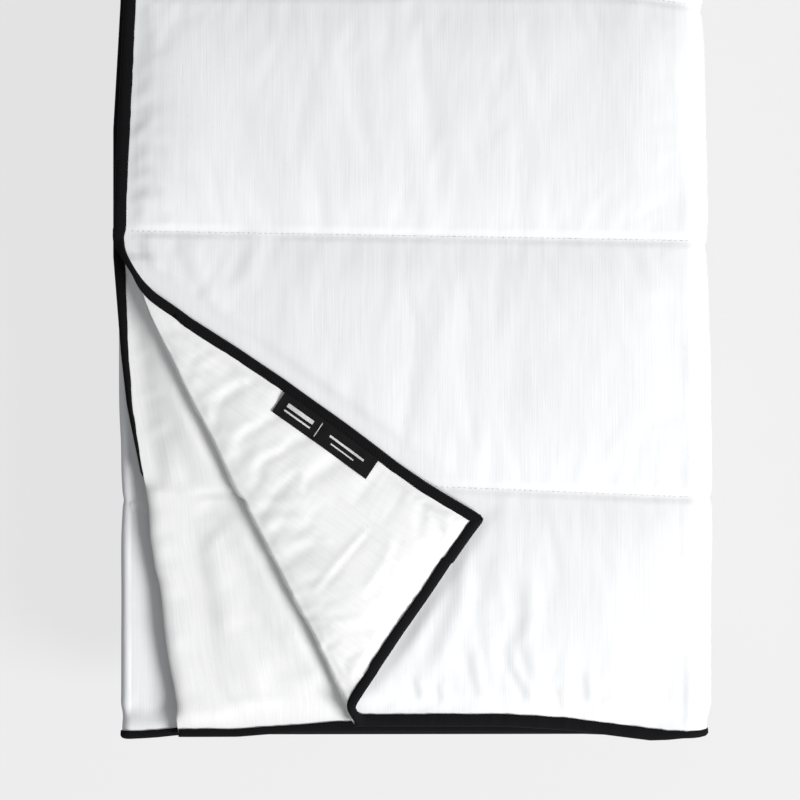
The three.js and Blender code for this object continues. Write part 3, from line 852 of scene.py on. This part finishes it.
def long_binding(run, sheet, which):
    """Tape on the long edge of leaf 1, which is a, or of leaf 2, b."""
    column, edge_x = (0, sheet.leaf1_x) if which == "a" else (-1, sheet.leaf2_x)
    rows = sheet.rows
    if run == "top" and which == "a":
        keep = rows + leaf1_warp(EDGE_X, rows) + NEAR_Y > 29.5
    else:
        keep = np.ones(len(rows), bool)
    centre = to_frame(run, edge_x - EDGE_INSET, sheet.y[:, column], sheet.z[:, column])[keep]
    width_up = width_down = TAPE
    if run == "top" and which == "b":  # tucked in and under towards the near end
        frame_y = rows + NEAR_Y
        tucked = smooth((-106 - frame_y) / 7)
        width_up = width_down = np.clip(leaf2_tape_shown(frame_y) + 0.7, 1.3, TAPE)
        centre[:, 0] += 5.4 * tucked**2
        centre[:, 2] -= 3.6 * smooth(tucked * 1.8)
    if run == "top" and which == "a":
        width_up = TAPE - 0.9 * smooth((38 - centre[:, 1]) / 6)
    obj = tape_along(f"{run}_binding_{which}", centre, np.array([-1.0, 0, 0]), UP * FACING[run],
                     2.25, centre[:, 1], width_up, width_down)
    attach(obj, run + "_run", "binding", f"{run}_long_binding_{which}")


def end_binding(run, sheet):
    """Tape round the folded cross-section at a run's near end."""
    x = sheet.x[0]
    centre = to_frame(run, x, sheet.y[0] - 1.2, sheet.z[0])
    width = TAPE
    if run == "top":
        widths = {"1": leaf1_end_tape(x), "2": leaf2_end_tape(x), "3": leaf2_end_tape(x),
                  "f": 4.9, "4": 4.9, "i": 4.9, "o": 4.2}
        for part, value in widths.items():
            width = np.where(sheet.parts == part, value, width)
    obj = tape_along(f"{run}_end_tape", centre, np.array([0, -1.0, 0]),
                     section_normals(run, sheet, 0), 2.3, sheet.arc[0], width, width)
    attach(obj, run + "_run", "binding", run + "_end_binding")


sheets = {}
for run in RUNS:
    top = run == "top"
    sheet = sheets[run] = run_sheet(run, 130 if top else 44,
                                    STEP if top else STEP * 2.2)
    cloth = sandwich(run + "_sheet", sheet.upper, sheet.lower,
                     np.stack([sheet.arc, sheet.y], -1), [FACE, BACK])
    attach(cloth, run + "_run", "face_fabric", run + "_face", run + "_fill", run + "_back")
for run, sheet in sheets.items():
    for number, seam in enumerate(QUILT[run], 1):
        quilt_line(run, sheet, number, seam)
for run, sheet in sheets.items():
    for which in "ab":
        long_binding(run, sheet, which)
for run in BOUND:
    end_binding(run, sheets[run])


# ------------------------------------------------------------------ lengthwise folds
def bend_at_fold(obj, lower, upper, centre_z, radius):
    """Shares a piece between two runs: parted at mid height, or, for an outer leaf of the
    lowest fold, rolling through the fold's whole height."""
    reach = 0.02 if radius < 12 or lower != "bottom" else radius
    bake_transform(obj, lower + "_run", upper + "_run", start=(0, 0, (centre_z - reach) / 1000),
             end=(0, 0, (centre_z + reach) / 1000))


def fold_pieces(name, lower, upper, direction):
    """The half turn that joins two runs, bulging far (1) or near (-1)."""
    row = -1 if direction > 0 else 0
    fold_y = (FAR_FOLD if direction > 0 else NEAR_FOLD) + NEAR_Y
    centre_z = RUN_Z[upper] - 0.3
    angles = np.linspace(-math.pi / 2, math.pi / 2, 18)  # even, so no row lies at mid height
    share = smooth(angles / math.pi + 0.5)

    def ends(sheet):
        first_x = [sheet.x[row, np.argmax(sheet.parts == part)] for part in "o3"]
        return [sheet.leaf1_x[row], sheet.leaf2_x[row], *first_x]

    sheet = section(44, *(low * (1 - share) + high * share
                          for low, high in zip(ends(sheets[lower]), ends(sheets[upper]))))
    turn = angles[:, None] + 0 * sheet.x

    def from_fold(z):
        """Distance from the side of the strip that lies inside the fold."""
        return z if direction > 0 else STRIP - z

    def place(out):
        """The sheet moved out along its normals, then bent round the fold."""
        radius = np.maximum(from_fold(sheet.z + sheet.normal_z * out) + 0.3, 0.45)
        return np.stack([sheet.x + sheet.normal_x * out,
                         fold_y + direction * radius * np.cos(turn),
                         centre_z + radius * np.sin(turn)], -1)

    half = fold_half(edge_distance(sheet))
    puckers = 0.5 * noise(sheet.arc / 14, turn * 2.2, seed=40) * np.cos(turn)
    puckers *= smooth((from_fold(sheet.z) - 8) / 8)
    face, back = place(half + puckers), place(-half)
    uv = np.stack([sheet.arc, turn * 16], -1)
    # pieces of nearly one radius, so that each can bend between the runs it joins
    cuts = []
    for part in PARTS:
        members = np.flatnonzero(sheet.parts == part)
        pieces = {"o": 4, "f": 2, "i": 2}.get(part, 1)
        marks = np.linspace(members[0], members[-1] + (part != "2"), pieces + 1)
        cuts += marks.round().astype(int)[:-1].tolist()
    cuts.append(len(sheet.parts) - 1)
    for number, (first, last) in enumerate(zip(cuts, cuts[1:]), 1):
        cols = slice(first, last + 1)
        obj = sandwich(f"{name}_cloth_{number}", face[:, cols], back[:, cols], uv[:, cols],
                       [FACE, BACK])
        radius = float(np.mean(from_fold(sheet.z[:, cols]))) + 0.3
        bend_at_fold(obj, lower, upper, centre_z, max(radius * 0.97, 1.0))
        if number == 1:
            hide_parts(f"{name}_face", f"{name}_fill", f"{name}_back")
    for which, height, edge_x in (("a", 3.5, sheet.leaf1_x), ("b", 2.5, sheet.leaf2_x)):
        radius = from_fold(height * LEAF) + 0.3
        outward_way = np.stack([0 * angles, direction * np.cos(angles), np.sin(angles)], -1)
        centre = outward_way * radius + np.array([0, fold_y, centre_z])
        centre[:, 0] = edge_x - EDGE_INSET
        obj = tape_along(f"{name}_tape_{which}", centre, np.array([-1.0, 0, 0]),
                         outward_way * direction, 2.25, angles * radius, TAPE, TAPE)
        bend_at_fold(obj, lower, upper, centre_z, radius)
        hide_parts(f"{name}_binding_{which}")


fold_pieces("lower_far_fold", "bottom", "third", 1)
fold_pieces("near_fold", "third", "second", -1)
fold_pieces("upper_far_fold", "second", "top", 1)

# ------------------------------------------------------------------ the turned-back corner
# inward shift of the corner's edges, and the lift in y of its long edge, by distance from the tip
bow_long = curve(
    (0, -0.7), (10, -0.4), (20, 0.1), (30, 0.6), (40, 0.9), (50, 0.7), (60, 0.5), (66, 0.1),
    (100, -1.4), (140, -2.4), (170, -2.2), (190, -1.7), (205, -1.5), (260, -1.8))
bow_end = curve(
    (0, 0), (10, 0.5), (31, 0.6), (32.2, 1.3), (40, 1.3), (60, 1.7), (80, 2), (100, 1.8),
    (130, 1.6))
curl_far = curve(
    (222, 0), (228, 1.2), (232, 2.8), (236, 5.5), (240, 8.8), (244, 12), (248, 15), (260, 18))
# the fold's outline: distance along the fold, then across the corner
fold_line = curve(
    (-64, 123.6), (-56, 124), (-47, 124.5), (-14, 125.6), (40, 126), (80, 126.6),
    (84.5, 127.3), (86, 127.4), (88, 125.6), (91, 125.3), (124, 126.6), (156, 126.3),
    (194, 128), (223, 129.7), (240, 131), (250, 131.4))
# centre of the tape round the far and the near end of the fold: frame y, then x
far_turn = curve(
    (-19.9, -126), (-11, -138.2), (-5.4, -146.4), (-2.4, -150.4), (4, -156.5), (7.4, -158.6),
    (10.4, -160.2), (13.1, -162.1), (16.4, -164), (19.7, -166.1), (24.4, -168.5),
    (27.6, -169.9), (30.4, -170.7), (40, -170.7))
near_turn = curve(
    (-251, -27), (-247.7, -30.4), (-245.1, -33), (-242.2, -34.8), (-239.9, -36), (-237.6, -36),
    (-234.4, -34.7), (-230.7, -32.4), (-225.8, -29.2), (-218.8, -24.3))
SPLIT = 121.79  # below this height the bend stays with the top leaf, above it goes with the corner
BEND_ACROSS = CUT_RUN + 0.35  # distance across the corner of the bend's axis


def fold_point(across, along, z):
    """A frame place from distances across and along the fold, and a height."""
    parts = [np.asarray(value)[..., None] for value in (across, along, z)]
    return ORIGIN + parts[0] * ACROSS + parts[1] * ALONG + parts[2] * UP


def corner_place(x, y, z):
    """Cloth x and y from the corner, and a height, to the turned-back place."""
    return fold_point(2 * HINGE - from_corner(x, y), along_fold(x, y) + SKEW, z)


def corner_shape(points, held=False):
    """Bows the corner's edges, rounds its tip and, if held, keeps its ends under the tape."""
    points = points.copy()
    long, end = from_tip(points[..., 0], points[..., 1])
    radius = 3.2
    short_long, short_end = (radius - long) / radius, (radius - end) / radius
    both = (short_long > 0) & (short_end > 0)
    reach = np.maximum(np.hypot(short_long, short_end), 1e-9)
    shrink = np.where(both, 1 - np.maximum(short_long, short_end) / reach, 0)
    shift_long = bow_end(end) * (1 - smooth((long - 8) / 50)) + shrink * short_long * radius
    shift_end = bow_long(long) * (1 - smooth((end - 8) / 60)) + shrink * short_end * radius
    points += shift_long[..., None] * LONG_WAY + shift_end[..., None] * END_WAY
    points[..., 1] += curl_far(long) * (1 - smooth((end - 4) / 40))
    if held:
        x, y = points[..., 0], points[..., 1]
        x = np.where(y > -19, np.minimum(x, far_turn(y)), x)
        points[..., 0] = np.where(y < -219, np.minimum(x, near_turn(y)), x)
        points[..., 1] = np.clip(y, -247.5, 24)
    return points


def clear_of_split(points):
    """Keeps points off the split, so none is left halfway when the corner opens."""
    off = points[..., 2] - SPLIT
    moved = SPLIT + np.where(off < 0, -0.07, 0.07)
    points[..., 2] = np.where(np.abs(off) < 0.07, moved, points[..., 2])
    return points


def part_at_split(obj):
    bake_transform(obj, "top_run", "turned_corner", start=(0, 0, (SPLIT - 0.05) / 1000),
             end=(0, 0, (SPLIT + 0.05) / 1000))


def corner_surface():
    """Cloth x and y, and the heights of both sides. Rows run parallel to the fold, from it
    to the tip."""
    inset = 1.3
    down = np.linspace(0, 1, 96)[:, None]
    share = np.linspace(0, 1, 150)
    row_across = CUT_CORNER * (1 - down) + 2.6 * down
    first_y = (row_across - COS_CUT * inset) / SIN_CUT
    last_x = (row_across - SIN_CUT * inset) / COS_CUT
    x, y = inset + (last_x - inset) * share, first_y + (inset - first_y) * share
    across, along = from_corner(x, y), along_fold(x, y)
    edge, to_fold = np.minimum(x, y), CUT_CORNER - across
    half = np.minimum(2.9, 1.7 + 1.2 * smooth((edge - TAPE + 1) / 8))
    lift = corner_swell(x, y) + 0.35 * noise(x / 30, y / 55, seed=61)
    lift += 0.28 * noise(x / 9, y / 19, seed=62) * bump(edge - TAPE - 5, 12)
    lift += 0.55 * bump(to_fold, 14) * noise(along / 8, across / 30, seed=66)
    lift += 0.4 * noise(along / 15, across / 70, seed=67)
    # the cloth dips towards the fold
    dip = 0.6 * bump(to_fold, 3) + (0.6 + 0.5 * noise(along / 37, seed=68)) * bump(to_fold, 20)
    upper = FLAP_MID + half + np.maximum(lift, -0.6) * smooth(edge / 9)
    upper -= dip * smooth((edge - 3) / 12)
    flat = corner_place(x, y, 0.0)
    ridges = crease(flat[..., 0], flat[..., 1], CORNER_CREASES)
    upper += 0.8 * ridges * smooth((edge - 5) / 6)
    return x, y, upper, FLAP_MID - np.minimum(2.7, half)


def corner_bend(x, y, upper_z, lower_z):
    """Outer side, inner side and UVs of the half roll from the top leaf up to the corner's
    first row, which is given."""
    share = np.linspace(0, 1, len(x))
    leaf_first = along_fold(1.4, (CUT_RUN - COS_CUT * 1.4) / SIN_CUT)
    leaf_last = along_fold((CUT_RUN - SIN_CUT * 4.6) / COS_CUT, 4.6)
    flap_first, flap_last = along_fold(x, y)[[0, -1]] + SKEW
    taper = smooth((1 - share) * 9) * smooth(share * 9)
    outer_mid, outer_low, inner_mid, inner_drop = 121.6, 114.9, 121.68, 0.48  # heights
    outer, inner, uv = [], [], []
    for angle in np.linspace(-math.pi / 2, math.pi / 2, 13):
        turned = float(smooth(angle / math.pi + 0.5))
        along = ((leaf_first * (1 - turned) + flap_first * turned) * (1 - share)
                 + (leaf_last * (1 - turned) + flap_last * turned) * share)
        puckers = (0.45 * noise(along / 6.5, 0.4 * angle, seed=90)
                   + 0.3 * noise(along / 19, seed=91)) * taper
        radius = BEND_ACROSS - fold_line(along) + puckers
        cosine, sine = math.cos(angle), round(math.sin(angle), 9)
        if sine > 0:
            outer_z = outer_mid + (upper_z - outer_mid) * sine
            inner_z = inner_mid + (lower_z - inner_mid) * sine**0.15
        else:
            outer_z = outer_mid + (outer_mid - outer_low) * sine
            inner_z = inner_mid + inner_drop * sine
        outer.append(fold_point(BEND_ACROSS - radius * cosine, along, outer_z))
        inner.append(fold_point(BEND_ACROSS - 0.25 * cosine, along, inner_z))
        uv.append(np.stack([x, y + (math.pi / 2 - angle) * 4], -1))
    return np.array(outer), np.array(inner), np.array(uv)


def corner_sheet():
    x, y, upper_z, lower_z = corner_surface()
    bend = corner_bend(x[0], y[0], upper_z[0], lower_z[0])
    flap = (corner_place(x, y, upper_z), corner_place(x, y, lower_z), np.stack([x, y], -1))
    upper, lower, uv = (np.concatenate([roll[:-1], flat]) for roll, flat in zip(bend, flap))
    upper, lower = (clear_of_split(corner_shape(side, held=True)) for side in (upper, lower))
    obj = sandwich("corner_sheet", upper, lower, uv, [BACK, FACE])
    part_at_split(obj)
    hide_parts("corner_face", "corner_fill", "corner_back", "corner_bend_face",
                "corner_bend_fill", "corner_bend_back")


def corner_tape(name, along_end, node, length):
    """Tape along one of the corner's two edges, narrowed to a mitre at the tip."""
    travel = np.linspace(0, length, 70)
    waver = 0.35 * noise(travel / 30, seed=71 + along_end)
    x, y, out = (travel, waver, -LONG_WAY) if along_end else (waver, travel, -END_WAY)
    centre = corner_shape(corner_place(x, y, FLAP_MID))
    width = np.minimum(6.2, 1.0 + travel) - smooth((travel - length + 9) / 8)
    obj = tape_along(name, centre, out, UP, 2.0, travel, width, width)
    attach(obj, "turned_corner", "binding", node)


def ribbon(name, stops):
    """A flattened tube of tape along a curved centre line."""
    rings, sides = 72, 16
    stops = np.array(stops)
    steps = np.linalg.norm(np.diff(stops[:, :3], axis=0), axis=1)
    passed = np.concatenate([[0], np.cumsum(steps)])
    travel = np.linspace(0, passed[-1], rings)
    line = np.stack([np.interp(travel, passed, stops[:, i]) for i in range(5)], -1)
    for _ in range(7):
        line[1:-1] = (line[:-2] + 2 * line[1:-1] + line[2:]) / 4
    centre, width, half = line[:, :3], line[:, 3], line[:, 4]
    way = np.gradient(centre, axis=0)
    side = np.stack([-way[:, 1], way[:, 0], 0 * way[:, 0]], -1)
    side /= np.linalg.norm(side, axis=1, keepdims=True)
    angles = np.linspace(0, 2 * math.pi, sides, endpoint=False)

    def squared(value):
        return (np.sign(value) * np.abs(value) ** 0.6)[None, :, None]

    points = (centre[:, None] + side[:, None] * (squared(np.cos(angles)) * width[:, None, None] / 2)
              + UP * (squared(np.sin(angles)) * half[:, None, None]))
    uv = np.stack(np.broadcast_arrays(travel[:, None], angles * 2.4), -1).reshape(-1, 2)
    obj = outward(mesh_object(name, clear_of_split(points).reshape(-1, 3),
                              tube_faces(rings, sides), uv, [TWILL]))
    part_at_split(obj)


# the tape round the bend, at the far and near ends of the fold: x, y, z, width, half thickness
UPPER_BEND = [
    (-170.7, 37.4, 117.9, 6.7, 2.2), (-170.7, 30.4, 118.3, 7, 2.6),
    (-169.9, 27.6, 119.6, 5.9, 2.9), (-168.5, 24.4, 122, 4.3, 3),
    (-166.1, 19.7, 124.4, 3.8, 2.8), (-164, 16.4, 125.6, 3.5, 2.6),
    (-162.1, 13.1, 126, 3.3, 2.5), (-160.2, 10.4, 126.2, 3.4, 2.5),
    (-158.6, 7.4, 126.2, 4.1, 2.4), (-156.5, 4, 126.1, 5, 2.4),
    (-150.4, -2.4, 125.9, 5.6, 2.4), (-146.4, -5.4, 125.6, 6, 2.4),
    (-138.2, -11, 125.3, 6.1, 2.35), (-132, -15.5, 125.1, 5.9, 2.2),
    (-126, -19.9, 125, 5.2, 2),
]
LOWER_BEND = [
    (-20.4, -213.2, 125, 5.2, 2), (-24.3, -218.8, 125.2, 6, 2.3),
    (-29.2, -225.8, 125.5, 6.2, 2.4), (-32.4, -230.7, 125.8, 6.2, 2.5),
    (-34.7, -234.4, 125.8, 6, 2.5), (-36, -237.6, 125.2, 5.6, 2.6),
    (-36, -239.9, 124.2, 5, 2.8), (-34.8, -242.2, 122.6, 4.8, 3),
    (-33, -245, 120.8, 5.4, 3), (-30.5, -246.6, 119.2, 6.8, 2.8),
    (-27, -247.1, 118.4, 7.2, 2.7), (-20, -247.2, 118, 6.9, 2.4),
]
corner_sheet()
corner_tape("corner_long_tape", False, "corner_long_binding", 214.0)
corner_tape("corner_end_tape", True, "corner_end_binding", 113.0)
ribbon("corner_tape_upper_bend", UPPER_BEND)
ribbon("corner_tape_lower_bend", LOWER_BEND)

# ------------------------------------------------------------------ the woven label
LABEL_LONG, LABEL_WIDE = 66.4, 13.4
LABEL_FROM_TIP = 69.5
LABEL_BASE_Z = FLAP_MID + 3.05
FLAP_TIP = ORIGIN + 2 * HINGE * ACROSS + SKEW * ALONG


def label_piece(name, longs, wides, above, below, material):
    """A thin sheet on the label, from above to below its middle, by label coordinates."""
    long, wide = np.meshgrid(longs, wides)
    lift = np.maximum(corner_swell(wide + 6.6, LABEL_FROM_TIP + long), 0)
    sag = 0.25 * noise(long / 16, wide / 9, seed=101) + 0.5 * (wide / LABEL_WIDE) ** 2
    middle = LABEL_BASE_Z + 0.3 + lift + sag
    flat = (FLAP_TIP + (LABEL_FROM_TIP + long)[..., None] * LONG_WAY
            + (wide + 5.6)[..., None] * END_WAY)
    upper, lower = (corner_shape(flat + (middle + rise)[..., None] * UP)
                    for rise in (above, below))
    return sandwich(name, upper, lower, np.stack([long, wide], -1), [material])


label = label_piece("woven_label_cloth", np.linspace(0, LABEL_LONG, 60),
                    np.linspace(0, LABEL_WIDE, 14), 0.35, -0.1, LABEL)
attach(label, "turned_corner", "label", "woven_label")

# plain woven bars: name, start and end along the label, start and end across it
LABEL_MARKS = [
    ("label_divider", 38.2, 38.7, 2.2, 11.2), ("label_bar_1", 7, 31, 5.0, 6.3),
    ("label_bar_2", 43, 61, 8.2, 9.2), ("label_bar_3", 12, 28, 8.6, 9.4),
    ("label_bar_4", 43, 61, 4.0, 6.4),
]
for name, start, end, low, high in LABEL_MARKS:
    count = max(2, int((end - start) / 1.2))
    bar = label_piece(name, np.linspace(start, end, count), np.linspace(low, high, 3),
                      0.51, 0.3, MARK)
    attach(bar, "turned_corner", "label")


# ------------------------------------------------------------------ studio, in metres
def make_floor():
    mesh = bpy.data.meshes.new("floor")
    mesh.from_pydata([(-4, -4, 0), (4, -4, 0), (4, 4, 0), (-4, 4, 0)], [], [(0, 1, 2, 3)])
    floor = bpy.data.objects.new("floor", mesh)
    bpy.context.scene.collection.objects.link(floor)
    material, tree, bsdf = new_material("floor_paper")
    # the paper glows for the camera; the blanket gets far less of it from below
    camera_ray = add_node(tree, "LightPath", {}, output="Is Camera Ray")
    camera_glow, base_glow = 0.545, 0.2
    glow = combine(tree, "ADD", combine(tree, "MULTIPLY", camera_ray, camera_glow), base_glow)
    feed(tree, bsdf.inputs, {
        "Base Color": (0.12, 0.12, 0.122, 1), "Emission Color": (0.995, 0.99, 1.0, 1),
        "Emission Strength": glow, "Roughness": 0.95, "Specular IOR Level": 0.05})
    mesh.materials.append(material)


def area_light(name, location, target, size, power, colour=(1, 1, 1)):
    light = bpy.data.lights.new(name, "AREA")
    light.shape = "DISK"
    light.size = size
    light.energy = power
    light.color = colour
    obj = bpy.data.objects.new(name, light)
    obj.location = location
    way = mathutils.Vector(target) - mathutils.Vector(location)
    obj.rotation_euler = way.to_track_quat("-Z", "Y").to_euler()
    bpy.context.scene.collection.objects.link(obj)


def make_world():
    world = bpy.data.worlds.new("studio")
    world.use_nodes = True
    background = world.node_tree.nodes["Background"]
    feed(world.node_tree, background.inputs, {"Color": (0.97, 0.98, 1.0, 1), "Strength": 0.27})
    bpy.context.scene.world = world


def make_camera():
    """Looks straight down, with view_width in sight at the height of view_z."""
    view_width, view_z, lens, sensor = 0.4616, 0.122, 124, 36
    data = bpy.data.cameras.new("camera")
    data.lens = lens
    data.sensor_width = sensor
    camera = bpy.data.objects.new("camera", data)
    camera.location = (-0.0079, -0.0619, view_z + view_width * lens / sensor)
    bpy.context.scene.collection.objects.link(camera)
    bpy.context.scene.camera = camera


make_floor()
area_light("key", (1.95, -1.38, 2.0), target=(0, -0.05, 0.1), size=1.4, power=105)
area_light("fill", (-0.8, 0.9, 2.2), target=(0, 0, 0.1), size=1.8, power=1.5,
           colour=(0.97, 0.98, 1.0))
make_world()
bpy.context.scene.view_settings.view_transform = "Standard"
make_camera()

bpy.context.view_layer.update()
